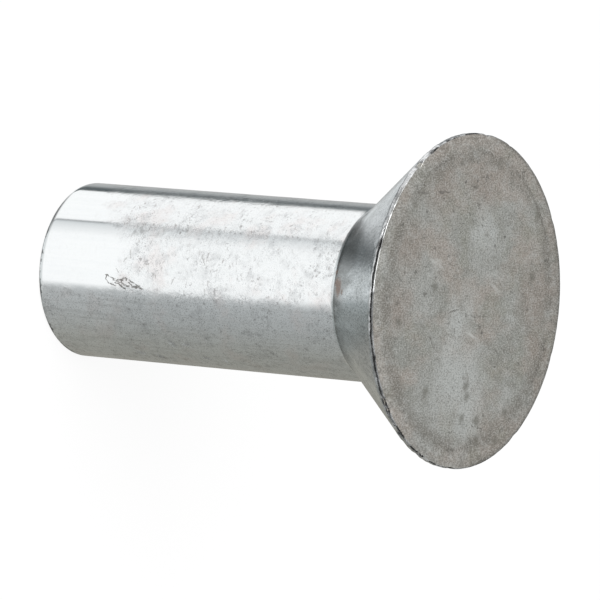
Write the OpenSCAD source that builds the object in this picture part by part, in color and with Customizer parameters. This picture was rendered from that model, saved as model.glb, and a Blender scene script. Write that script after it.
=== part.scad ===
// Solid rivet with a flat countersunk head, turned about +Z.
// It stands on its cut tail end at z = 0, with the flat head face on top.
// All sizes are in millimetres.

/* [Shank] */
// Diameter of the shank
shank_d = 9.525; // [6:0.005:12]
// Radius that breaks the edge of the cut tail end
tail_r = 0.15; // [0.05:0.01:0.5]

/* [Head] */
// Length over all, from the tail end to the flat head face
overall_l = 25; // [14:0.1:80]
// Diameter of the head at its rim
head_d = 17.76; // [15.5:0.01:24]
// Included angle of the countersunk cone, in degrees
head_angle = 78; // [60:1:100]
// Height of the straight land round the rim
rim_land = 0.28; // [0.2:0.01:1]
// Radius that breaks the two edges of the rim land
rim_r = 0.1; // [0.02:0.005:0.2]
// Radius of the fillet where the shank runs into the cone
neck_r = 0.6; // [0.1:0.05:1.5]

/* [Hidden] */
$fn = 96;

shank_rad = shank_d / 2;
head_rad = head_d / 2;
half_angle = head_angle / 2;

// Heights of the two creases that the cone runs between, before they are rounded
rim_z = overall_l - rim_land;
crease_z = rim_z - (head_rad - shank_rad) / tan(half_angle);

// The straight cone runs this far into the arc at each of its ends, so that they cross
cross = 0.001;

// Fillet at the neck: it leaves the shank and meets the cone this far from the crease
neck_reach = neck_r * tan(half_angle / 2);
neck_centre = [shank_rad + neck_r, crease_z - neck_reach];
neck_start = [shank_rad, neck_centre.y];
neck_end = neck_centre + (neck_r - cross) * [-cos(half_angle), sin(half_angle)];

// Edge breaks of the rim land: a quarter round at the face, and a shorter one at the cone
face_edge = [head_rad - rim_r, overall_l - rim_r];
cone_edge = [head_rad - rim_r, rim_z + rim_r * tan(half_angle / 2)];
cone_end = cone_edge + (rim_r - cross) * [cos(half_angle), -sin(half_angle)];

// Edge break of the tail end
tail_centre = [shank_rad - tail_r, tail_r];

color_zinc = [0.66, 0.66, 0.64];

// Half section of the rivet, with every edge break and fillet as a true arc
module section() {
    difference() {
        union() {
            polygon([
                [0, 0],
                [tail_centre.x, 0],
                tail_centre,
                [shank_rad, tail_centre.y],
                neck_start,
                neck_centre,
                neck_end,
                cone_end,
                cone_edge,
                [head_rad, cone_edge.y],
                [head_rad, face_edge.y],
                face_edge,
                [face_edge.x, overall_l],
                [0, overall_l]
            ]);
            translate(tail_centre) circle(r = tail_r);
            translate(cone_edge) circle(r = rim_r);
            translate(face_edge) circle(r = rim_r);
        }
        translate(neck_centre) circle(r = neck_r);
    }
}

// The whole rivet is one cold-headed piece
module rivet() {
    color(color_zinc) rotate_extrude() section();
}

rivet();
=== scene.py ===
# %% [markdown]
# # A worn steel rivet
# The object is a solid rivet: a round shank, a cone under the head and a flat head face, all one
# piece of steel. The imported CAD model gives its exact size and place. This lesson keeps that frame,
# models the same rivet again with enough faces to carry nicks and dents, and gives each surface the
# finish that it has on the real one.

# %% Load the frame
import bpy
import math
from mathutils import Matrix, Vector


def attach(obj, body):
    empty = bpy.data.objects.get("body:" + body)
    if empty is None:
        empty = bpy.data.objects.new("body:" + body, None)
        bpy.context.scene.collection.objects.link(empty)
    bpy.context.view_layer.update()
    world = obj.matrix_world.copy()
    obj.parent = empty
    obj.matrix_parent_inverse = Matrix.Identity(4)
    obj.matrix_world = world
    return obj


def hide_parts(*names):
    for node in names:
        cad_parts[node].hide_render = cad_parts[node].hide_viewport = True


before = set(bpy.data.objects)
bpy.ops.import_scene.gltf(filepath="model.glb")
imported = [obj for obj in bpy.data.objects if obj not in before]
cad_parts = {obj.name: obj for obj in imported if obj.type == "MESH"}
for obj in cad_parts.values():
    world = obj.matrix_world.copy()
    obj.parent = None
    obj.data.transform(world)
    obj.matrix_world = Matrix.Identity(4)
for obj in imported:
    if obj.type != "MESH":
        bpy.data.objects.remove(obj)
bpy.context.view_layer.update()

# %% [markdown]
# ## Sizes
# The half section has only a few corners. They are the CAD sizes, in metres, with the axis of the
# rivet on Z and the cut tail end on the floor. The neck height follows from the angle of the cone,
# as it does in the CAD source. The rim has two details that come from the heading tool: a fine fold
# in its near part, and a shallow step on the face where the punch ended.

# %% Sizes of the half section
MM = 0.001
length = 25.0 * MM
shank_r = 9.525 / 2 * MM
head_r = 17.76 / 2 * MM
rim_land = 0.28 * MM
half_angle = math.radians(78 / 2)
rim_z = length - rim_land
neck_z = rim_z - (head_r - shank_r) / math.tan(half_angle)
tail_break = 0.15 * MM
neck_fillet = 0.6 * MM
rim_break = 0.1 * MM
lip_break = 0.06 * MM
fold_z = rim_z + 0.14 * MM
fold_half = 0.04 * MM
fold_depth = 0.08 * MM
step_r = 7.75 * MM
step_run = 0.3 * MM
step_drop = 0.02 * MM
print("neck at %.2f mm, rim at %.2f mm" % (neck_z / MM, rim_z / MM))

# %% [markdown]
# ## Camera
# The photograph looks onto the head at an angle of about 55 degrees from the axis, and the rivet
# lies across the picture. A rivet that lies down would roll away, so it stands on its tail, and the
# camera looks down on it and is rolled on its side instead. A long lens far away gives the weak
# perspective of a close-up picture. The two angles, in radians, the focal length and the place of
# the face were fitted to the outline in the photograph.

# %% Camera at the photograph's viewing angle
view_angle = 0.9574
view_roll = 0.0861
image_px = 600
focal_px = 6384.25
face_px = (468.72, 301.36)
face_depth = 35.338 * 2 * shank_r

back = Vector((0, -math.sin(view_angle), math.cos(view_angle)))
rise = Vector((0, math.cos(view_angle), math.sin(view_angle)))
side = Vector((1, 0, 0))
right = math.cos(view_roll) * rise - math.sin(view_roll) * side
up = back.cross(right)
off_centre = ((face_px[0] - image_px / 2) / focal_px, (image_px / 2 - face_px[1]) / focal_px)
face_in_view = Vector((*off_centre, -1)) * face_depth
turn = Matrix((right, up, back)).transposed()
camera_data = bpy.data.cameras.new("camera")
camera_data.sensor_width = 36
camera_data.lens = camera_data.sensor_width * focal_px / image_px
camera_data.clip_start = 0.01
camera = bpy.data.objects.new("camera", camera_data)
camera.matrix_world = Matrix.Translation(Vector((0, 0, length)) - turn @ face_in_view) @ turn.to_4x4()
bpy.context.scene.collection.objects.link(camera)
bpy.context.scene.camera = camera
camera_place = [round(v, 4) for v in camera.matrix_world.translation]
print("camera at", camera_place, "with a lens of %.0f mm" % camera_data.lens)

# %% [markdown]
# ## The rivet: half section
# A turned part is made fastest by spinning its half section. A plane is merged to one vertex on the
# axis, and that vertex is extruded from corner to corner. Then each corner that the real rivet has
# rounded gets a vertex bevel.

# %% Draw the half section
face_edge_z = length - step_drop
corners = [
    (0, 0),
    (shank_r, 0),
    (shank_r, neck_z),
    (head_r, rim_z),
    (head_r, fold_z - fold_half),
    (head_r - fold_depth, fold_z),
    (head_r, fold_z + fold_half),
    (head_r, face_edge_z),
    (step_r + step_run, face_edge_z),
    (step_r, length),
    (0, length),
]
bpy.ops.object.select_all(action="DESELECT")
bpy.ops.mesh.primitive_plane_add(size=MM, location=(0, 0, 0))
rivet = bpy.context.object
rivet.name = "worn_rivet"
rivet.data.name = "worn_rivet"
bpy.ops.object.mode_set(mode="EDIT")
bpy.ops.mesh.select_all(action="SELECT")
bpy.ops.mesh.merge(type="CENTER")
for (r0, z0), (r1, z1) in zip(corners, corners[1:]):
    bpy.ops.mesh.extrude_region_move(TRANSFORM_OT_translate={"value": (r1 - r0, 0, z1 - z0)})
bpy.ops.object.mode_set(mode="OBJECT")
print("half section:", len(rivet.data.vertices), "corners")


# %% Helpers that select by place
def pick_vertices(wanted):
    """Selects the vertices of the rivet whose place meets the test, and nothing else."""
    bpy.ops.object.mode_set(mode="EDIT")
    bpy.ops.mesh.select_mode(type="VERT")
    bpy.ops.mesh.select_all(action="DESELECT")
    bpy.ops.object.mode_set(mode="OBJECT")
    picked = 0
    for v in rivet.data.vertices:
        v.select = bool(wanted(v.co))
        picked += v.select
    bpy.ops.object.mode_set(mode="EDIT")
    return picked


def near(r, z, reach=0.01 * MM):
    """A test for a vertex of the half section near radius r and height z."""
    return lambda p: math.hypot(p.x - r, p.z - z) < reach


# %% Round the corners
right_angle = math.radians(90)
for (r, z), radius, turn_angle, steps in [
    ((shank_r, 0), tail_break, right_angle, 4),
    ((shank_r, neck_z), neck_fillet, half_angle, 8),
    ((head_r, rim_z), rim_break, half_angle, 3),
    ((head_r, face_edge_z), lip_break, right_angle, 4),
]:
    pick_vertices(near(r, z))
    reach = radius * math.tan(turn_angle / 2)
    bpy.ops.mesh.bevel(offset_type="OFFSET", offset=reach, segments=steps, affect="VERTICES")
bpy.ops.object.mode_set(mode="OBJECT")
print("rounded half section:", len(rivet.data.vertices), "vertices")


# %% [markdown]
# ## The rivet: rings
# The long straight runs are subdivided before the spin, so that nicks and dents have vertices to
# move. The spin then turns the outline into rings. It leaves a double seam and loose poles, so
# doubles are merged and the normals are turned outwards.

# %% Subdivide the long runs and spin
def subdivide_run(low, high, cuts):
    """Cuts the run of the half section whose ends lie in the box between two corners."""
    pick_vertices(lambda p: low[0] <= p.x <= high[0] and low[1] <= p.z <= high[1])
    bpy.ops.mesh.subdivide(number_cuts=cuts)


hair = 0.001 * MM
ring_steps = 400
subdivide_run((-hair, -hair), (shank_r, hair), 8)
subdivide_run((shank_r - hair, 0.1 * MM), (shank_r + hair, neck_z), 90)
subdivide_run((shank_r + 0.125 * MM, neck_z + 0.1 * MM), (head_r - 0.01 * MM, rim_z), 26)
subdivide_run((-hair, length - hair), (step_r + hair, length + hair), 36)
bpy.ops.mesh.select_all(action="SELECT")
bpy.ops.mesh.spin(steps=ring_steps, angle=2 * math.pi, center=(0, 0, 0), axis=(0, 0, 1))
bpy.ops.mesh.select_all(action="SELECT")
bpy.ops.mesh.remove_doubles(threshold=hair)
bpy.ops.mesh.normals_make_consistent(inside=False)
bpy.ops.object.mode_set(mode="OBJECT")
print("spun rivet:", len(rivet.data.polygons), "faces")


# %% [markdown]
# ## The rivet: the fold
# The fold is a lap of metal that the heading tool left in the rim, and it dies out on the way
# round. The spin made it all the way round. A second outline for the closed part would be hard to
# join, so the bottom of the fold is scaled out to the rim wherever it is closed. From here on, a
# place round the rivet is given by its bearing.

# %% Close the fold away from the front
fold_open = (-50, 23)


def bearing_of(p):
    """The angle of a place round the rivet in degrees: 0 faces the camera, 90 the top of the picture."""
    return math.degrees(math.atan2(-p.x, -p.y))


def in_closed_fold(p):
    """A test for the bottom of the fold, outside the bearings where it stays open."""
    at_bottom = abs(p.z - fold_z) < 0.01 * MM and math.hypot(p.x, p.y) > step_r
    return at_bottom and not fold_open[0] < bearing_of(p) < fold_open[1]


closed = pick_vertices(in_closed_fold)
closing = head_r / (head_r - fold_depth)
bpy.ops.transform.resize(value=(closing, closing, 1), center_override=(0, 0, 0))
bpy.ops.object.mode_set(mode="OBJECT")
print("fold closed at", closed, "vertices")

# %% [markdown]
# ## The rivet: dents and nicks
# A rivet from the bin has knocks. The shank is a little wavy, which makes the edges of its
# reflections wander, and the rim is dented all round. Both could be sculpted, but a Displace
# modifier with a cloud texture does it evenly. Vertex groups keep the cut tail flat on the floor,
# and the face flat inside the rim. Single nicks in the rim are pushed in one by one with
# proportional editing.

# %% Groups of vertices for the wear
def smooth_step(value, start, end):
    """0 before start, 1 after end, and a smooth rise between them."""
    t = min(max((value - start) / (end - start), 0.0), 1.0)
    return t * t * (3 - 2 * t)


wavy = rivet.vertex_groups.new(name="wavy")
rim = rivet.vertex_groups.new(name="rim")
rim_inside = head_r - 0.3 * MM
for v in rivet.data.vertices:
    radius = math.hypot(v.co.x, v.co.y)
    on_side = smooth_step(v.co.z, 2 * MM, 6 * MM) * (v.co.z < neck_z - 0.3 * MM)
    if on_side:
        wavy.add([v.index], on_side, "REPLACE")
    if radius > rim_inside and v.co.z > rim_z - 0.25 * MM:
        facing = 0.3 + 0.7 * smooth_step(v.co.y, 1 * MM, -3 * MM)
        outside = smooth_step(radius, rim_inside, head_r - 0.1 * MM)
        rim.add([v.index], facing * outside, "REPLACE")
for group in (wavy, rim):
    members = sum(any(g.group == group.index for g in v.groups) for v in rivet.data.vertices)
    print(group.name, "group:", members, "vertices")


# %% Waves on the shank and a rough rim
def displace(name, group_name, grain, depth, strength):
    """Moves the vertices of a group along their normals by a cloud texture."""
    clouds = bpy.data.textures.new(name, "CLOUDS")
    clouds.noise_scale = grain
    clouds.noise_depth = depth
    modifier = rivet.modifiers.new(name, "DISPLACE")
    modifier.texture = clouds
    modifier.texture_coords = "LOCAL"
    modifier.vertex_group = group_name
    modifier.strength = strength
    bpy.ops.object.modifier_apply(modifier=name)


bpy.ops.object.select_all(action="DESELECT")
rivet.select_set(True)
bpy.context.view_layer.objects.active = rivet
displace("waves", "wavy", 1.3 * MM, 1, 0.012 * MM)
displace("rough_rim", "rim", 0.3 * MM, 2, 0.07 * MM)
mid_shank = [v for v in rivet.data.vertices if 8 * MM < v.co.z < 18 * MM]
mid_radii = [math.hypot(v.co.x, v.co.y) / MM for v in mid_shank]
print("shank radius from %.4f to %.4f mm" % (min(mid_radii), max(mid_radii)))


# %% Nicks in the rim
def around(angle, radius, z):
    """A place by its angle round the rivet: 0 degrees faces the camera, 90 the top of the picture."""
    a = math.radians(angle)
    return Vector((-radius * math.sin(a), -radius * math.cos(a), z))


# Each nick is a bearing in degrees, a depth and a reach, both in millimetres
nicks = [
    (51, 0.17, 0.48),
    (60, 0.06, 0.3),
    (93, 0.1, 0.3),
    (17, 0.05, 0.4),
    (-22.5, 0.07, 0.3),
    (-39.5, 0.12, 0.4),
    (-43, 0.10, 0.35),
    (-54, 0.10, 0.4),
    (-68, 0.12, 0.45),
    (-88, 0.03, 0.5),
    (108, 0.04, 0.4),
    (147, 0.03, 0.5),
    (-128, 0.04, 0.5),
    (-163, 0.03, 0.4),
]
nick_core = 0.14 * MM
for angle, depth, reach in nicks:
    spot = around(angle, head_r, face_edge_z)
    pick_vertices(lambda p: (p - spot).length < nick_core)
    inward = around(angle, -depth * MM, -0.15 * depth * MM)
    bpy.ops.transform.translate(
        value=inward,
        use_proportional_edit=True,
        proportional_edit_falloff="SHARP",
        proportional_size=reach * MM,
    )
bpy.ops.object.mode_set(mode="OBJECT")
heights = [v.co.z for v in rivet.data.vertices]
print("nicks:", len(nicks), "; height from %.4f to %.4f mm" % (min(heights) / MM, max(heights) / MM))

# %% [markdown]
# ## The rivet: shading
# Flat shading would show every small face of the mesh. Smooth shading hides them, and edges that
# turn by more than a set angle stay crisp, such as those of the fold.

# %% Smooth shading with crisp edges
crisp_angle = math.radians(50)
bpy.ops.object.shade_smooth_by_angle(angle=crisp_angle)
triangles = sum(len(p.vertices) - 2 for p in rivet.data.polygons)
print("worn rivet:", triangles, "triangles")


# %% [markdown]
# ## Finishes: tools
# Every finish below is a node material. A few short helpers keep the wiring readable: one adds a
# node with its values and links, and the others wrap the sums, mixes and textures that every finish
# needs.

# %% Node helpers
def node(tree, kind, inputs=None, **settings):
    """Adds a node. An input is a value, or an output socket to link from."""
    made = tree.nodes.new(kind)
    for key, value in settings.items():
        setattr(made, key, value)
    for key, value in (inputs or {}).items():
        if isinstance(value, bpy.types.NodeSocket):
            tree.links.new(value, made.inputs[key])
        else:
            made.inputs[key].default_value = value
    return made


def calc(tree, operation, a, b=0.0, c=0.0):
    """One sum of up to three values."""
    return node(tree, "ShaderNodeMath", {0: a, 1: b, 2: c}, operation=operation).outputs[0]


def product(tree, *values):
    """The product of several values."""
    result = values[0]
    for value in values[1:]:
        result = calc(tree, "MULTIPLY", result, value)
    return result


def largest(tree, *values):
    """The largest of several values."""
    result = values[0]
    for value in values[1:]:
        result = calc(tree, "MAXIMUM", result, value)
    return result


def span(tree, value, start, end, low=0.0, high=1.0):
    """A smooth step of a value from start to end."""
    inputs = {"Value": value, "From Min": start, "From Max": end, "To Min": low, "To Max": high}
    return node(tree, "ShaderNodeMapRange", inputs, interpolation_type="SMOOTHSTEP").outputs[0]


def blend(tree, factor, a, b):
    """A mix of two colours."""
    inputs = {"Factor": factor, "A": a, "B": b}
    return node(tree, "ShaderNodeMix", inputs, data_type="RGBA").outputs["Result"]


def paint(tree, colour, *layers):
    """Lays colours over a colour: each layer is a mask, how much of it covers, and its own colour."""
    for mask, cover, layer in layers:
        colour = blend(tree, calc(tree, "MULTIPLY", mask, cover), colour, (*layer, 1))
    return colour


def noise(tree, place, scale, detail=2.0, roughness=0.5):
    """Cloudy noise between 0 and 1. Scale counts the spots in a metre."""
    inputs = {"Vector": place, "Scale": scale, "Detail": detail, "Roughness": roughness}
    return node(tree, "ShaderNodeTexNoise", inputs).outputs["Fac"]


def stretched(tree, place, factors, turn=(0, 0, 0)):
    """Coordinates that are turned and then stretched, for marks that run one way."""
    turned = node(tree, "ShaderNodeMapping", {"Vector": place, "Rotation": turn}).outputs[0]
    return node(tree, "ShaderNodeMapping", {"Vector": turned, "Scale": factors}).outputs[0]


def vector_calc(tree, operation, a, b, output="Vector"):
    """One sum of two vectors."""
    return node(tree, "ShaderNodeVectorMath", {0: a, 1: b}, operation=operation).outputs[output]


# %% Helpers for groups and materials
def new_group(name, outputs, **inputs):
    """A node group with inputs of the given kinds and float outputs, and the sockets inside it."""
    tree = bpy.data.node_groups.new(name, "ShaderNodeTree")
    for label, kind in inputs.items():
        tree.interface.new_socket(label, in_out="INPUT", socket_type="NodeSocket" + kind)
    for label in outputs:
        tree.interface.new_socket(label, in_out="OUTPUT", socket_type="NodeSocketFloat")
    return tree, tree.nodes.new("NodeGroupInput").outputs, tree.nodes.new("NodeGroupOutput").inputs


def use(tree, group, **inputs):
    """Places a group in a tree with its values and returns its first output."""
    return node(tree, "ShaderNodeGroup", inputs, node_tree=group).outputs[0]


def new_finish(name):
    """An empty metal material: the material, its tree, its shader and its Object coordinates."""
    material = bpy.data.materials.new(name)
    material.use_nodes = True
    tree = material.node_tree
    tree.nodes.clear()
    out = tree.nodes.new("ShaderNodeOutputMaterial")
    shader = node(tree, "ShaderNodeBsdfPrincipled", {"Metallic": 1.0})
    tree.links.new(shader.outputs["BSDF"], out.inputs["Surface"])
    place = tree.nodes.new("ShaderNodeTexCoord").outputs["Object"]
    return material, tree, shader, place


def wobbled(tree, place, scale, amount):
    """Coordinates shifted a little by noise, so that the marks drawn with them have ragged edges."""
    inputs = {"Vector": place, "Scale": scale, "Detail": 2.0}
    shift = node(tree, "ShaderNodeTexNoise", inputs).outputs["Color"]
    shift = vector_calc(tree, "SUBTRACT", shift, (0.5, 0.5, 0.5))
    shift = vector_calc(tree, "MULTIPLY", shift, (amount, amount, amount))
    return vector_calc(tree, "ADD", place, shift)


def finish_surface(tree, shader, colour, roughness, height=None, depth=0.0):
    """Links colour, roughness and, where there is a height, bump to the shader."""
    tree.links.new(colour, shader.inputs["Base Color"])
    tree.links.new(roughness, shader.inputs["Roughness"])
    if height:
        bump = node(tree, "ShaderNodeBump", {"Height": height, "Distance": depth, "Strength": 1.0})
        tree.links.new(bump.outputs[0], shader.inputs["Normal"])


# %% [markdown]
# ## Finishes: shared effects
# Stains, scratches and spots are on several surfaces of the rivet, so each is a node group. A stain
# is noise cut at a level: at a large scale it gives soft patches, at a fine one specks, and on
# stretched coordinates short strokes. A scratch is all points near a line between two points, and a
# spot is all points near one. The bearing round the axis is a group too, because the cone, the rim
# and the light in the room all count it.

# %% Stains and specks
stains, g, put = new_group("stains", ["Mask"], Vector="Vector", Scale="Float", Start="Float", End="Float")
cloud = noise(stains, g["Vector"], g["Scale"], 4.0, 0.6)
stains.links.new(span(stains, cloud, g["Start"], g["End"]), put["Mask"])
print("stains:", len(stains.nodes), "nodes")

# %% A scratch between two points
scratch, g, put = new_group(
    "scratch", ["Mask"], Vector="Vector", From="Vector", To="Vector", Width="Float"
)
reach = vector_calc(scratch, "SUBTRACT", g["Vector"], g["From"])
run = vector_calc(scratch, "SUBTRACT", g["To"], g["From"])
done = vector_calc(scratch, "DOT_PRODUCT", reach, run, "Value")
whole = vector_calc(scratch, "DOT_PRODUCT", run, run, "Value")
share = calc(scratch, "MAXIMUM", calc(scratch, "DIVIDE", done, whole), 0.0)
share = calc(scratch, "MINIMUM", share, 1.0)
foot = node(scratch, "ShaderNodeVectorMath", {0: run, "Scale": share}, operation="SCALE").outputs[0]
off = vector_calc(scratch, "DISTANCE", reach, foot, "Value")
core = calc(scratch, "MULTIPLY", g["Width"], 0.3)
scratch.links.new(span(scratch, off, g["Width"], core), put["Mask"])
print("scratch:", len(scratch.nodes), "nodes")

# %% A spot round a point
spots, g, put = new_group(
    "spots", ["Mask"], Vector="Vector", Centre="Vector", Size="Float", Core="Float"
)
off = vector_calc(spots, "DISTANCE", g["Vector"], g["Centre"], "Value")
core = calc(spots, "MULTIPLY", g["Size"], g["Core"])
spots.links.new(span(spots, off, g["Size"], core), put["Mask"])
print("spots:", len(spots.nodes), "nodes")

# %% The bearing of a place or a direction, in radians
bearings, g, put = new_group("bearings", ["Bearing"], Vector="Vector")
xyz = node(bearings, "ShaderNodeSeparateXYZ", {0: g["Vector"]}).outputs
across = calc(bearings, "MULTIPLY", xyz["X"], -1.0)
towards = calc(bearings, "MULTIPLY", xyz["Y"], -1.0)
bearings.links.new(calc(bearings, "ARCTAN2", across, towards), put["Bearing"])
print("bearings:", len(bearings.nodes), "nodes")


# %% Draw several marks of one kind
def scratches(tree, place, lines):
    """A mask of scratches: each is a list of places and a width in millimetres."""
    runs = [(start, end, width) for places, width in lines for start, end in zip(places, places[1:])]
    return largest(tree, *[
        use(tree, scratch, Vector=place, From=start, To=end, Width=width * MM)
        for start, end, width in runs
    ])


def blots(tree, place, marks, core):
    """A mask of spots: each is a place and a radius in millimetres."""
    return largest(tree, *[
        use(tree, spots, Vector=place, Centre=centre, Size=size * MM, Core=core)
        for centre, size in marks
    ])


# %% [markdown]
# ## Finish of the shank
# The shank is bright drawn steel. A tongue at the tail is still smooth, and the rest is worn: fine
# grain, dark specks, short scuffs and a few warm stains. The wear is a mask on the height that
# noise makes ragged. Near the tail there is a tangle of scratches, low on the side there are dark
# smudges, and at the neck a spot of rust. Painted shade darkens the lower side and makes its grain
# and drawn lines stronger, and a dark line of painted shade runs along the cut edge of the tail.

# %% Wear on the shank
shank_steel, tree, shader, place = new_finish("shank_steel")
xyz = node(tree, "ShaderNodeSeparateXYZ", {0: place}).outputs
tongue = calc(tree, "MULTIPLY_ADD", xyz["Y"], 4 * MM / shank_r, -1.2 * MM)
ragged = calc(tree, "MULTIPLY_ADD", noise(tree, place, 500.0, 4.0, 0.6), 5 * MM, -2.5 * MM)
worn = span(tree, calc(tree, "ADD", calc(tree, "ADD", xyz["Z"], tongue), ragged), -0.7 * MM, 1.2 * MM)
# low_side is the lower side of the shank, which carries painted shade below
low_side = calc(tree, "MULTIPLY_ADD", noise(tree, place, 900.0, 3.0), 1.2 * MM, xyz["X"])
low_side = span(tree, low_side, 1.5 * MM, 2.1 * MM)
# shade is painted shade: the worn part of the lower side is darkened
shade = product(tree, worn, low_side)
# The lower side counts as worn too, so its grain and marks are denser: partly real wear, partly painted
# shade
worn = largest(tree, worn, product(tree, low_side, 0.75))
print("shank so far:", len(tree.nodes), "nodes")

# %% Grain, specks and strokes on the shank
drawn = noise(tree, stretched(tree, place, (1, 1, 0.03)), 5000.0, 3.0)
grain = noise(tree, place, 15000.0, 2.0, 0.7)
waves = noise(tree, place, 3600.0, 3.0)
patchy = use(tree, stains, Vector=place, Scale=600.0, Start=0.4, End=0.64)
mottle = use(tree, stains, Vector=place, Scale=2000.0, Start=0.46, End=0.66)
specks = use(tree, stains, Vector=place, Scale=3900.0, Start=0.59, End=0.68)
round_place = stretched(tree, place, (1, 1, 2.5))
slanted_place = stretched(tree, place, (1, 1, 3), (0, 0.6, 0))
strokes = largest(
    tree,
    use(tree, stains, Vector=round_place, Scale=2300.0, Start=0.59, End=0.68),
    use(tree, stains, Vector=slanted_place, Scale=1900.0, Start=0.61, End=0.7),
)
warm = use(tree, stains, Vector=place, Scale=520.0, Start=0.5, End=0.68)
density = calc(tree, "MULTIPLY_ADD", worn, calc(tree, "MULTIPLY_ADD", patchy, 0.8, 0.25), 0.05)
print("shank so far:", len(tree.nodes), "nodes")


# %% Marks on the shank
def on_shank(*places):
    """Places on the shank, each by its angle in degrees and its height in millimetres."""
    return [around(angle, shank_r, z * MM) for angle, z in places]


def spots_on_shank(*marks):
    """Spots on the shank: an angle in degrees, a height and a radius in millimetres."""
    return [(around(angle, shank_r, z * MM), size) for angle, z, size in marks]


rough_place = wobbled(tree, place, 6000.0, 0.14 * MM)
tangle = scratches(tree, rough_place, [
    (on_shank((-2.6, 4.6), (-3.6, 4.9), (-5.6, 5.3), (-5.2, 5.8), (-7.0, 5.6)), 0.06),
    (on_shank((-2.8, 4.7), (-5.2, 4.6), (-8.0, 4.8), (-9.4, 5.3)), 0.05),
    (on_shank((-4.2, 5.8), (-6.6, 5.65), (-8.4, 5.5), (-11.0, 5.9)), 0.07),
    (on_shank((-3.8, 5.9), (-6.8, 6.5), (-10.4, 7.1), (-8.8, 6.4), (-5.0, 6.0)), 0.06),
    (on_shank((-7.2, 5.2), (-9.6, 6.2), (-8.2, 6.9)), 0.05),
    (on_shank((-5.6, 5.1), (-8.2, 5.9), (-10.0, 6.7)), 0.05),
])
broken = use(tree, stains, Vector=place, Scale=5500.0, Start=0.36, End=0.5)
dashes = scratches(tree, rough_place, [
    (on_shank((6.8, 5.7), (9.2, 5.85)), 0.07),
    (on_shank((6.2, 7.1), (6.5, 7.4)), 0.05),
    (on_shank((0.5, 7.75), (-4.1, 7.78)), 0.045),
    (on_shank((1.7, 5.25), (-0.4, 5.45)), 0.045),
    (on_shank((14.6, 6.0), (9.5, 6.1)), 0.06),
    (on_shank((14.0, 10.8), (8.5, 11.1)), 0.06),
    (on_shank((-1.0, 9.2), (-5.5, 9.0)), 0.06),
    (on_shank((-7.0, 11.2), (-10.5, 11.2)), 0.05),
])
smudge_place = wobbled(tree, place, 1500.0, 1.0 * MM)
smudges = blots(tree, smudge_place, spots_on_shank(
    (-49, 8.2, 0.45),
    (-48.5, 9.1, 0.4),
    (-63, 5.4, 0.4),
    (-66, 6.6, 0.45),
    (-63, 9.9, 0.4),
    (-65, 11.0, 0.35),
    (-34, 13.5, 0.2),
    (-28, 18.9, 0.15),
    (-33, 0.5, 0.2),
    (30, 6.3, 0.6),
    (29, 7.6, 0.5),
    (32, 9.4, 0.4),
), 0.1)
speckle = use(tree, stains, Vector=place, Scale=2600.0, Start=0.44, End=0.6)
rust_marks = [
    (around(1.5, shank_r + 0.45 * MM, 20.25 * MM), 0.7),
    (around(4.5, shank_r + 0.2 * MM, 19.95 * MM), 0.4),
    (around(11, shank_r, 19.8 * MM), 0.25),
    (around(16, shank_r, 19.8 * MM), 0.2),
]
rust = blots(tree, wobbled(tree, place, 3000.0, 0.25 * MM), rust_marks, 0.35)
# Painted shade: a dark line along the cut edge of the tail, its width wandering with noise
tail_edge_shade_reach = calc(tree, "MULTIPLY_ADD", noise(tree, place, 1800.0, 4.0, 0.7), -0.9 * MM, xyz["Z"])
tail_edge_shade_reach = calc(tree, "MULTIPLY_ADD", xyz["X"], -0.03, tail_edge_shade_reach)
painted_tail_edge_shade = span(tree, tail_edge_shade_reach, -0.3 * MM, -0.42 * MM)
low_dirt = product(
    tree,
    span(tree, xyz["X"], 3.9 * MM, 4.6 * MM),
    use(tree, stains, Vector=place, Scale=2400.0, Start=0.52, End=0.66),
    worn,
)
print("shank so far:", len(tree.nodes), "nodes")

# %% Colour and gloss of the shank
drawn_lines = span(tree, drawn, 0.35, 0.65)
colour = blend(tree, drawn_lines, (0.942, 0.968, 0.975, 1), (0.96, 0.982, 0.988, 1))
high_side = calc(tree, "MULTIPLY_ADD", low_side, -0.7, 1.0)
colour = paint(
    tree,
    colour,
    # painted shade on the worn lower side
    (shade, 0.22, (0.66, 0.70, 0.72)),
    (product(tree, warm, worn), 0.4, (0.87, 0.79, 0.77)),
    (product(tree, mottle, density), 0.5, (0.6, 0.615, 0.625)),
    # real drawn lines and grain, made darker on the lower side by painted shade
    (product(tree, span(tree, drawn, 0.45, 0.7), low_side), 0.3, (0.55, 0.56, 0.55)),
    (product(tree, span(tree, grain, 0.5, 0.75), density), 0.85, (0.42, 0.44, 0.45)),
    (product(tree, span(tree, grain, 0.48, 0.72), low_side), 0.75, (0.4, 0.41, 0.4)),
    (product(tree, specks, density), 0.55, (0.3, 0.29, 0.29)),
    (product(tree, strokes, density, high_side), 0.55, (0.3, 0.27, 0.26)),
    (product(tree, smudges, speckle), 0.45, (0.25, 0.245, 0.235)),
    (dashes, 0.4, (0.25, 0.24, 0.22)),
    (product(tree, tangle, broken), 0.85, (0.12, 0.11, 0.1)),
    (low_dirt, 0.32, (0.15, 0.14, 0.12)),
    # painted shade along the cut edge of the tail
    (painted_tail_edge_shade, 0.85, (0.1, 0.1, 0.1)),
    (rust, 0.92, (0.11, 0.045, 0.015)),
)
gloss = calc(tree, "MULTIPLY_ADD", worn, 0.08, 0.09)
gloss = calc(tree, "ADD", gloss, product(tree, largest(tree, rust, smudges), 0.3))
bumpy = calc(tree, "MULTIPLY_ADD", grain, 0.15, calc(tree, "MULTIPLY", waves, 1.1))
height = product(
    tree,
    bumpy,
    calc(tree, "MULTIPLY_ADD", worn, 0.97, 0.03),
    span(tree, xyz["Z"], 17 * MM, 13 * MM, 0.1),
)
finish_surface(tree, shader, colour, gloss, height, 0.01 * MM)
tree.links.new(calc(tree, "MULTIPLY_ADD", rust, -0.7, 1.0), shader.inputs["Metallic"])
print(shank_steel.name + ":", len(tree.nodes), "nodes")
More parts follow.
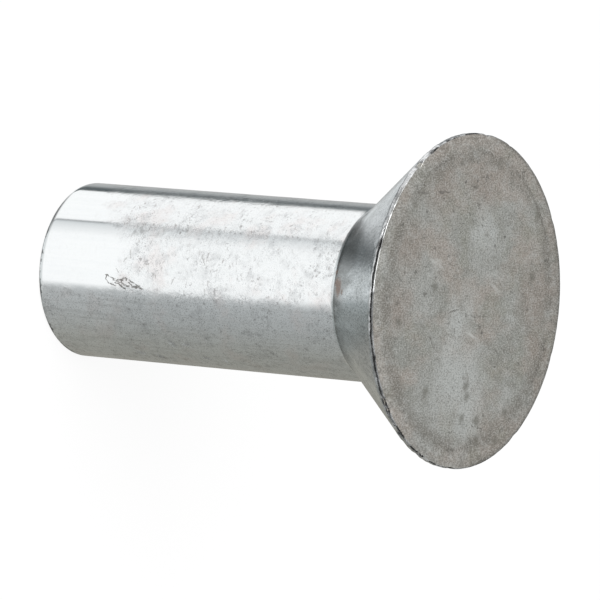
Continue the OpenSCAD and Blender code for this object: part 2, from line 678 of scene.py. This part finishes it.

# %% [markdown]
# ## Finish of the cone
# The cone was pressed in a polished die, so it has fewer scuffs than the shank, but it is mottled.
# A little rust sits in the crease where it meets the shank, and painted shade darkens the crease
# and reaches farther up the cone at bearings of about 0 to 40 degrees. Noise on plain coordinates
# would look squeezed on the slope, so the coordinates here follow the bearing and the height.

# %% Cone
cone_steel, tree, shader, place = new_finish("cone_steel")
xyz = node(tree, "ShaderNodeSeparateXYZ", {0: place}).outputs
outwards = node(tree, "ShaderNodeCombineXYZ", {"X": xyz["X"], "Y": xyz["Y"]}).outputs[0]
outwards = node(tree, "ShaderNodeVectorMath", {0: outwards}, operation="NORMALIZE").outputs[0]
slope = stretched(tree, outwards, (6.5 * MM, 6.5 * MM, 1))
climb = node(tree, "ShaderNodeCombineXYZ", {"Z": product(tree, xyz["Z"], 0.45)}).outputs[0]
slope = vector_calc(tree, "ADD", slope, climb)
mottle = use(tree, stains, Vector=slope, Scale=900.0, Start=0.36, End=0.64)
blotches = use(tree, stains, Vector=slope, Scale=2600.0, Start=0.45, End=0.68)
grain = noise(tree, slope, 13000.0, 2.0, 0.7)
specks = use(tree, stains, Vector=slope, Scale=5000.0, Start=0.58, End=0.68)
crease_noise = use(tree, stains, Vector=slope, Scale=1100.0, Start=0.25, End=0.55)
bearing = use(tree, bearings, Vector=place)
# Painted shade in the crease reaches farther up at these bearings
crease_shade_bearings = product(
    tree,
    span(tree, bearing, math.radians(-6), math.radians(6)),
    span(tree, bearing, math.radians(42), math.radians(25)),
)
crease_reach = calc(tree, "MULTIPLY_ADD", crease_shade_bearings, -1.5 * MM, xyz["Z"])
painted_crease_shade = product(tree, span(tree, crease_reach, neck_z + 1.6 * MM, neck_z + 0.2 * MM), crease_noise)
rust_place = wobbled(tree, place, 3000.0, 0.25 * MM)
rust = largest(
    tree,
    blots(tree, rust_place, rust_marks, 0.35),
    blots(tree, rust_place, [(around(-1, shank_r + 0.9 * MM, 20.8 * MM), 0.25)], 0.2),
)
colour = blend(tree, mottle, (0.9, 0.92, 0.93, 1), (0.68, 0.695, 0.695, 1))
colour = paint(
    tree,
    colour,
    (blotches, 0.3, (0.45, 0.46, 0.46)),
    (span(tree, grain, 0.48, 0.72), 0.9, (0.33, 0.34, 0.34)),
    (span(tree, grain, 0.5, 0.25), 0.8, (1.0, 1.0, 1.0)),
    (specks, 0.5, (0.25, 0.25, 0.25)),
    # painted shade in the crease
    (painted_crease_shade, 0.7, (0.2, 0.195, 0.18)),
    (rust, 0.92, (0.11, 0.045, 0.015)),
)
gloss = calc(tree, "MULTIPLY_ADD", mottle, 0.06, 0.17)
finish_surface(tree, shader, colour, gloss)
tree.links.new(calc(tree, "MULTIPLY_ADD", rust, -0.7, 1.0), shader.inputs["Metallic"])
print(cone_steel.name + ":", len(tree.nodes), "nodes")

# %% [markdown]
# ## Finish of the rim
# The rim is the most knocked edge. The steel there is bright where it was rubbed, and a painted
# highlight makes it brighter between bearings of about 27 and 70 degrees. Painted shade darkens the
# fold and, at some bearings, the lip, and each nick is painted darker.

# %% Rim
rim_steel, tree, shader, place = new_finish("rim_steel")
xyz = node(tree, "ShaderNodeSeparateXYZ", {0: place}).outputs
bearing = use(tree, bearings, Vector=place)


def from_to(start, end, fade=2.0):
    """A mask along the rim between two bearings in degrees."""
    first = span(tree, bearing, math.radians(start - fade), math.radians(start + fade))
    last = span(tree, bearing, math.radians(end + fade), math.radians(end - fade))
    return product(tree, first, last)


wander = calc(tree, "MULTIPLY_ADD", noise(tree, place, 2200.0, 3.0, 0.65), 0.2 * MM, -0.1 * MM)
height = calc(tree, "ADD", xyz["Z"], wander)
above_fold = calc(tree, "ABSOLUTE", calc(tree, "SUBTRACT", height, fold_z))
fold = span(tree, above_fold, 0.065 * MM, 0.035 * MM)
lip = span(tree, height, face_edge_z - 0.1 * MM, face_edge_z - 0.06 * MM)
patchy = use(tree, stains, Vector=place, Scale=1100.0, Start=0.46, End=0.56)
broken = calc(tree, "MULTIPLY_ADD", patchy, 0.5, 0.5)
# Painted shade: dark in the fold, and on the lip at some bearings
painted_fold_and_lip_shade = largest(
    tree,
    product(tree, fold, from_to(-18, 19)),
    product(tree, fold, from_to(-47, -18), broken, 0.85),
    product(tree, fold, from_to(31, 39), patchy, 0.35),
    product(tree, lip, from_to(-14, 0.5, 0.8), 0.8),
    product(tree, lip, from_to(-36, -14), broken, 0.4),
    product(tree, lip, from_to(57, 88, 1.5), patchy),
    product(tree, lip, from_to(-180, -36), patchy),
)
# Painted shade: the lip is darker between bearings of about 1 and 40 degrees
painted_lip_shade = product(tree, lip, largest(tree, product(tree, from_to(1, 31, 1.0), broken), from_to(32, 40)))
# Darker at each nick
dark_at_nicks = blots(tree, wobbled(tree, place, 3500.0, 0.25 * MM), [
    (around(angle, head_r, face_edge_z), reach) for angle, depth, reach in nicks
], 0.4)
grain = noise(tree, place, 9000.0, 3.0, 0.6)
chunks = use(tree, stains, Vector=place, Scale=1900.0, Start=0.4, End=0.6)
colour = blend(tree, chunks, (0.42, 0.43, 0.43, 1), (0.8, 0.81, 0.82, 1))
colour = paint(
    tree,
    colour,
    # Painted highlight: the steel between bearings 27 and 70 is brighter, over real rubbed wear and grain
    (from_to(27, 70), 0.5, (0.92, 0.93, 0.94)),
    (product(tree, from_to(27, 70), chunks), 0.7, (0.95, 0.96, 0.97)),
    (product(tree, from_to(24, 80), span(tree, grain, 0.5, 0.68)), 0.75, (0.35, 0.36, 0.36)),
    # painted shade on the lip
    (painted_lip_shade, 0.75, (0.25, 0.25, 0.24)),
    (dark_at_nicks, 0.85, (0.1, 0.1, 0.1)),
    # painted shade in the fold and on the lip
    (painted_fold_and_lip_shade, 0.95, (0.035, 0.035, 0.035)),
)
gloss = calc(tree, "MULTIPLY_ADD", painted_fold_and_lip_shade, 0.3, 0.25)
finish_surface(tree, shader, colour, gloss, grain, 0.004 * MM)
print(rim_steel.name + ":", len(tree.nodes), "nodes")

# %% [markdown]
# ## Finish of the head face
# The face met the flat punch of the header. It is matte, with a fine even grain, soft warm and cool
# patches, light scuffs and a few small scars. A painted sheen lightens a broad patch across its
# middle, and painted shade darkens a ring and a line along the step and the edge on the far side.
# The grain is about as fine as a pixel of the picture, so colour shows it better than bump would.

# %% Grain and stains on the face
face_steel, tree, shader, place = new_finish("face_steel")
xyz = node(tree, "ShaderNodeSeparateXYZ", {0: place}).outputs
x_squared = product(tree, xyz["X"], xyz["X"])
y_squared = product(tree, xyz["Y"], xyz["Y"])
radius = calc(tree, "SQRT", calc(tree, "ADD", x_squared, y_squared))
level_place = stretched(tree, place, (1, 0.6, 1))
grain = noise(tree, level_place, 13000.0, 1.0, 0.5)
coarse = noise(tree, level_place, 5500.0, 3.0, 0.65)
soft = use(tree, stains, Vector=level_place, Scale=260.0, Start=0.38, End=0.62)
warm = use(tree, stains, Vector=level_place, Scale=330.0, Start=0.42, End=0.62)
moved_place = vector_calc(tree, "ADD", place, (0.1, 0.2, 0.3))
olive = use(tree, stains, Vector=moved_place, Scale=420.0, Start=0.5, End=0.66)
clusters = use(tree, stains, Vector=level_place, Scale=700.0, Start=0.46, End=0.6)
mid = noise(tree, level_place, 1800.0, 4.0, 0.6)
smears = use(tree, stains, Vector=level_place, Scale=1000.0, Start=0.56, End=0.7)
specks = use(tree, stains, Vector=level_place, Scale=3400.0, Start=0.57, End=0.66)
# Painted shade: a darker ring inside the step
ring_noise = use(tree, stains, Vector=place, Scale=600.0, Start=0.3, End=0.6)
ring_middle = calc(tree, "ABSOLUTE", calc(tree, "SUBTRACT", radius, step_r - 0.1 * MM))
ring = product(tree, span(tree, ring_middle, 0.7 * MM, 0.1 * MM), ring_noise)
border = span(tree, radius, step_r + 0.1 * MM, head_r)
# Painted shade: the edge of the face is darker on its far side
shaded_far_side = span(tree, xyz["Y"], 0.0, 3 * MM)
outline = product(tree, span(tree, radius, rim_inside, head_r - 0.1 * MM), shaded_far_side)
# Painted shade: a dark line along the slope of the step
step_middle = calc(tree, "ABSOLUTE", calc(tree, "SUBTRACT", radius, step_r + step_run / 2))
step_noise = use(tree, stains, Vector=place, Scale=500.0, Start=0.5, End=0.6)
step_line = product(tree, span(tree, step_middle, 0.16 * MM, 0.05 * MM), step_noise)
print("face so far:", len(tree.nodes), "nodes")


# %% Marks on the face
def on_face(*places):
    """Places on the head face, in millimetres from its centre."""
    return [Vector((x * MM, y * MM, length)) for x, y in places]


def spots_on_face(*marks):
    """Spots on the head face: a place from its centre and a radius, all in millimetres."""
    return [(Vector((x * MM, y * MM, length)), size) for x, y, size in marks]


rough_place = wobbled(tree, place, 3500.0, 0.3 * MM)
scars = scratches(tree, rough_place, [
    (on_face((-5.55, -3.7), (-5.6, -2.7)), 0.1),
    (on_face((-5.4, -5.6), (-5.45, -4.7)), 0.08),
    (on_face((0.7, -1.9), (0.5, -0.9)), 0.06),
    (on_face((2.7, -2.9), (2.0, -3.4)), 0.06),
])
dark_blots = blots(tree, rough_place, [
    (centre, 0.42)
    for centre in on_face(
        (4.45, 0.45), (5.0, 0.6), (6.2, 0.25), (6.25, 1.7), (5.7, 4.3), (4.9, -3.35),
        (7.3, 1.8), (7.25, 3.7), (-0.6, -3.3), (-1.6, 5.9), (1.4, -6.4), (-4.9, 5.9),
    )
], 0.1)
points = blots(tree, wobbled(tree, place, 5000.0, 0.1 * MM), [
    (centre, 0.12)
    for centre in on_face(
        (-6.24, -1.23), (-6.36, -0.11), (-4.45, -4.63), (-3.58, 2.93), (-3.05, 2.05), (1.6, 1.5),
    )
], 0.3)
wide_place = wobbled(tree, place, 450.0, 3 * MM)
# Painted sheen: a broad lighter patch across the middle of the face
painted_sheen_patch = blots(tree, wide_place, spots_on_face(
    (4.2, -0.6, 3.6),
    (5.9, 0.4, 2.8),
    (1.0, -0.8, 2.6),
    (-3.9, 0.9, 2.2),
), 0.1)
slanted_place = stretched(tree, place, (1, 0.3, 1), (0, 0, 0.3))
streaks = use(tree, stains, Vector=slanted_place, Scale=2200.0, Start=0.5, End=0.66)
scuffs = product(tree, streaks, blots(tree, rough_place, spots_on_face(
    (-1.6, -3.4, 1.3),
    (-1.3, 2.6, 1.6),
    (1.6, 0.6, 1.1),
    (3.2, -1.4, 1.2),
), 0.2))
warm_patch = blots(tree, wide_place, spots_on_face(
    (-2.4, -6.2, 2.4),
    (0.8, -6.9, 2.4),
    (-6.2, -3.6, 2.6),
    (-6.3, 0.6, 2.4),
    (-0.6, 6.6, 2.8),
    (1.8, 6.9, 2.0),
), 0.1)
print("face so far:", len(tree.nodes), "nodes")

# %% Colour of the face
colour = blend(tree, soft, (0.455, 0.465, 0.435, 1), (0.56, 0.575, 0.555, 1))
colour = paint(
    tree,
    colour,
    (warm, 0.5, (0.59, 0.485, 0.42)),
    (olive, 0.5, (0.42, 0.425, 0.365)),
    (warm_patch, 0.75, (0.455, 0.395, 0.35)),
    # painted sheen
    (painted_sheen_patch, 0.9, (0.70, 0.73, 0.72)),
    (smears, 0.35, (0.72, 0.735, 0.72)),
    # painted shade along the step
    (ring, 0.75, (0.31, 0.295, 0.265)),
    (border, 0.35, (0.43, 0.40, 0.365)),
    # painted shade on the far edge of the face
    (outline, 0.6, (0.2, 0.195, 0.18)),
    (span(tree, mid, 0.48, 0.72), 0.5, (0.34, 0.335, 0.305)),
    (span(tree, mid, 0.52, 0.28), 0.4, (0.70, 0.715, 0.70)),
    # painted shade along the step
    (step_line, 0.5, (0.2, 0.185, 0.165)),
    (span(tree, grain, 0.45, 0.75), 0.5, (0.2, 0.195, 0.18)),
    (span(tree, grain, 0.55, 0.25), 0.45, (0.85, 0.85, 0.83)),
    (span(tree, coarse, 0.5, 0.75), 0.45, (0.25, 0.24, 0.22)),
    (product(tree, specks, clusters), 0.6, (0.17, 0.165, 0.15)),
    (dark_blots, 0.6, (0.22, 0.215, 0.185)),
    (scuffs, 0.55, (0.82, 0.83, 0.81)),
    (scars, 0.55, (0.2, 0.19, 0.18)),
    (points, 0.7, (0.14, 0.135, 0.13)),
)
finish_surface(tree, shader, colour, span(tree, coarse, 0.3, 0.7, 0.46, 0.56))
print(face_steel.name + ":", len(tree.nodes), "nodes")

# %% [markdown]
# ## Finish of the tail end
# The tail was sheared from a bar. The cut has fine parallel lines over half of it and a rough torn
# half. It is hidden in the photograph, so this is what such a cut looks like. Two noises, one of
# them stretched, are mixed by a mask.

# %% Tail end
tail_steel, tree, shader, place = new_finish("tail_steel")
xyz = node(tree, "ShaderNodeSeparateXYZ", {0: place}).outputs
tear = calc(tree, "MULTIPLY_ADD", noise(tree, place, 600.0, 3.0), 3 * MM, xyz["X"])
torn = span(tree, tear, 0.5 * MM, 2.0 * MM)
lines = noise(tree, stretched(tree, place, (0.06, 1, 1)), 4000.0, 3.0)
crumbs = noise(tree, place, 5000.0, 4.0, 0.65)
surface = blend(tree, torn, lines, crumbs)
colour = blend(tree, span(tree, crumbs, 0.35, 0.65), (0.46, 0.45, 0.43, 1), (0.62, 0.62, 0.61, 1))
finish_surface(tree, shader, colour, span(tree, torn, 0.0, 1.0, 0.32, 0.5), surface, 0.02 * MM)
print(tail_steel.name + ":", len(tree.nodes), "nodes")

# %% [markdown]
# ## Finishes on the mesh
# By hand, each surface would be selected in edit mode and given a material slot with Assign. The
# surfaces of the rivet differ by height and radius only, so a short test on the middle of each face
# picks its slot.

# %% Give each surface its finish
finishes = [tail_steel, shank_steel, cone_steel, rim_steel, face_steel]
for material in finishes:
    bpy.ops.object.material_slot_add()
    rivet.material_slots[-1].material = material


def finish_at(p):
    """The finish of a face of the mesh, by its place."""
    out = math.hypot(p.x, p.y)
    if p.z < 0.005 * MM:
        return tail_steel
    if p.z < neck_z:
        return shank_steel
    if p.z < rim_z - 0.02 * MM:
        return cone_steel
    if out > head_r - 0.09 * MM:
        return rim_steel
    return face_steel


for p in rivet.data.polygons:
    p.material_index = finishes.index(finish_at(p.center))
for index, material in enumerate(finishes):
    print(material.name, sum(p.material_index == index for p in rivet.data.polygons), "faces")

# %% [markdown]
# ## Studio
# Metal shows what stands around it, so the room is part of the look. The world is a light tent:
# white, with grey and dark cards that give the rivet its bands and its dark edges. The upright
# shank looks only into the low part of the tent, the cone looks steeply down, and the face looks
# up. So six rings of cards are six colour ramps round the rivet, mixed by height. Most cards have
# hard edges. Those of the ring called mild are soft, so that the shank looks round from the sides
# too.

# %% Directions in the room
world = bpy.data.worlds.new("studio")
bpy.context.scene.world = world
world.use_nodes = True
room = world.node_tree
room.nodes.clear()
ray = node(room, "ShaderNodeTexCoord").outputs["Generated"]
ray_xyz = node(room, "ShaderNodeSeparateXYZ", {0: ray}).outputs
ray_bearing = use(room, bearings, Vector=ray)
whole_turn = {"Value": ray_bearing, "From Min": -math.pi, "From Max": math.pi}
turned = node(room, "ShaderNodeMapRange", whole_turn).outputs[0]


def cards(*stops, edges="LINEAR"):
    """A ring of cards: (degrees, colour) stops, with 0 at the camera and the top of the picture at 90."""
    made = node(room, "ShaderNodeValToRGB", {"Fac": turned})
    band = made.color_ramp
    band.interpolation = edges
    band.elements.remove(band.elements[-1])
    for degrees, colour in stops[1:]:
        band.elements.new((degrees + 180) / 360).color = (*colour, 1)
    band.elements[0].color = (*stops[0][1], 1)
    return made.outputs["Color"]


# %% Cards in the room
white = (1, 1, 1)
black = (0.05, 0.05, 0.05)
steep = cards(
    (-180, (0.3, 0.295, 0.27)),
    (-150, (0.29, 0.295, 0.28)),
    (-100, (0.29, 0.31, 0.305)),
    (-60, (0.38, 0.405, 0.4)),
    (-26, (0.38, 0.41, 0.415)),
    (-8, (0.8, 0.83, 0.84)),
    (40, (0.78, 0.81, 0.82)),
    (60, (0.34, 0.36, 0.37)),
    (75, (0.15, 0.165, 0.17)),
    (132, (0.12, 0.135, 0.14)),
    (152, (0.55, 0.57, 0.58)),
    (172, (0.55, 0.57, 0.58)),
    (180, (0.3, 0.295, 0.27)),
)
lower = cards(
    (-180, (0.75, 0.78, 0.79)),
    (-174, (0.37, 0.365, 0.325)),
    (-120, (0.36, 0.36, 0.33)),
    (-60, (0.36, 0.37, 0.365)),
    (-20, (0.7, 0.72, 0.72)),
    (45, (0.7, 0.72, 0.72)),
    (70, (0.2, 0.2, 0.2)),
    (120, (0.2, 0.2, 0.2)),
    (150, (0.75, 0.78, 0.79)),
    (180, (0.75, 0.78, 0.79)),
)
low = cards(
    (-180, (0.33, 0.32, 0.29)),
    (-140, (0.31, 0.305, 0.275)),
    (-100, (0.335, 0.335, 0.31)),
    (-60, (0.4, 0.41, 0.405)),
    (-26, (0.48, 0.495, 0.5)),
    (-19, white),
    (45, white),
    (64.3, (0.68, 0.7, 0.71)),
    (65.2, (0.16, 0.17, 0.18)),
    (66.4, (0.16, 0.17, 0.18)),
    (67.3, white),
    (127, white),
    (129, (0.1, 0.115, 0.12)),
    (138, (0.11, 0.125, 0.13)),
    (148, (0.4, 0.415, 0.42)),
    (172, (0.5, 0.505, 0.5)),
    (180, (0.3, 0.29, 0.265)),
)
mild = cards(
    (-180, (0.3, 0.3, 0.29)),
    (-115, (0.85, 0.86, 0.86)),
    (-55, (0.3, 0.31, 0.31)),
    (10, (0.98, 0.98, 0.98)),
    (45, (0.98, 0.98, 0.98)),
    (85, (0.4, 0.41, 0.41)),
    (125, (0.95, 0.95, 0.95)),
    (180, (0.3, 0.3, 0.29)),
    edges="EASE",
)
level = cards(
    (-180, (0.25, 0.25, 0.24)),
    (-120, (0.2, 0.2, 0.2)),
    (-100, black),
    (40, black),
    (55, white),
    (130, white),
    (150, (0.2, 0.2, 0.2)),
    (180, (0.25, 0.25, 0.24)),
)
high = cards(
    (-180, (0.46, 0.46, 0.45)),
    (-90, (0.6, 0.6, 0.6)),
    (0, (0.9, 0.9, 0.9)),
    (90, white),
    (180, (0.46, 0.46, 0.45)),
)
tent = steep
next_rings = [
    (lower, -0.87, -0.74),
    (low, -0.71, -0.64),
    (mild, -0.42, -0.32),
    (level, -0.25, -0.12),
    (high, 0.25, 0.5),
]
for next_ring, start, end in next_rings:
    tent = blend(room, span(room, ray_xyz["Z"], start, end), tent, next_ring)
print("tent:", 1 + len(next_rings), "rings of cards")

# %% [markdown]
# ## White for the camera
# The camera, and anything clear, sees the tent as plain white paper. Only shiny steel sees the
# cards on it. The Light Path node tells which kind of ray asks.

# %% Show the cards to the metal and plain white to the camera
path = node(room, "ShaderNodeLightPath").outputs
seen = calc(room, "MAXIMUM", path["Is Camera Ray"], path["Is Transmission Ray"])
plain = blend(room, seen, (0.8, 0.8, 0.8, 1), (1, 1, 1, 1))
sky = node(room, "ShaderNodeBackground", {"Color": blend(room, path["Is Glossy Ray"], plain, tent)})
node(room, "ShaderNodeOutputWorld", {"Surface": sky.outputs[0]})
print("world:", len(room.nodes), "nodes")

# %% [markdown]
# ## Floor
# The floor is white paper. Its own diffuse paper catches the soft shadow of the rivet, and a share
# of plain white for camera rays keeps the picture's background as white as the photograph's. Shiny
# steel looks past it to the cards.

# %% Floor
bpy.ops.object.select_all(action="DESELECT")
bpy.ops.mesh.primitive_plane_add(size=2, location=(0, 0, 0))
floor = bpy.context.object
floor.name = "floor"
floor.visible_glossy = False
floor_paper = bpy.data.materials.new("floor_paper")
floor_paper.use_nodes = True
paper_tree = floor_paper.node_tree
paper_tree.nodes.clear()
rays = node(paper_tree, "ShaderNodeLightPath").outputs
seen = calc(paper_tree, "MAXIMUM", rays["Is Camera Ray"], rays["Is Transmission Ray"])
paper = node(paper_tree, "ShaderNodeBsdfDiffuse", {"Color": (0.9, 0.9, 0.9, 1)})
glow = node(paper_tree, "ShaderNodeEmission", {"Strength": 1.0})
lit = node(
    paper_tree,
    "ShaderNodeMixShader",
    {0: calc(paper_tree, "MULTIPLY", seen, 0.88), 1: paper.outputs[0], 2: glow.outputs[0]},
)
node(paper_tree, "ShaderNodeOutputMaterial", {"Surface": lit.outputs[0]})
floor.data.materials.append(floor_paper)
print("floor:", len(paper_tree.nodes), "nodes in its paper")

# %% [markdown]
# ## Lamp
# One wide, weak softbox gives the rivet a soft shadow on the floor. A small or strong lamp would
# draw a white line on the lip of the rim and burn out the bright steel, so most of the light on the
# metal comes from the tent.

# %% Lamp
lamp_data = bpy.data.lights.new("softbox", "AREA")
lamp_data.shape = "DISK"
lamp_data.size = 0.5
lamp_data.energy = 2.0
lamp = bpy.data.objects.new("softbox", lamp_data)
lamp.location = (-0.15, -0.2, 0.4)
lamp.rotation_euler = (Vector((0, 0, 0)) - lamp.location).to_track_quat("-Z", "Y").to_euler()
bpy.context.scene.collection.objects.link(lamp)
print("lamp: %.1f W, %.1f m across" % (lamp_data.energy, lamp_data.size))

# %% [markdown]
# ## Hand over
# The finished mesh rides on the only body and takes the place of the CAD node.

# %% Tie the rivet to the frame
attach(rivet, "root")
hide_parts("rivet")
bpy.context.scene.view_settings.view_transform = "Standard"
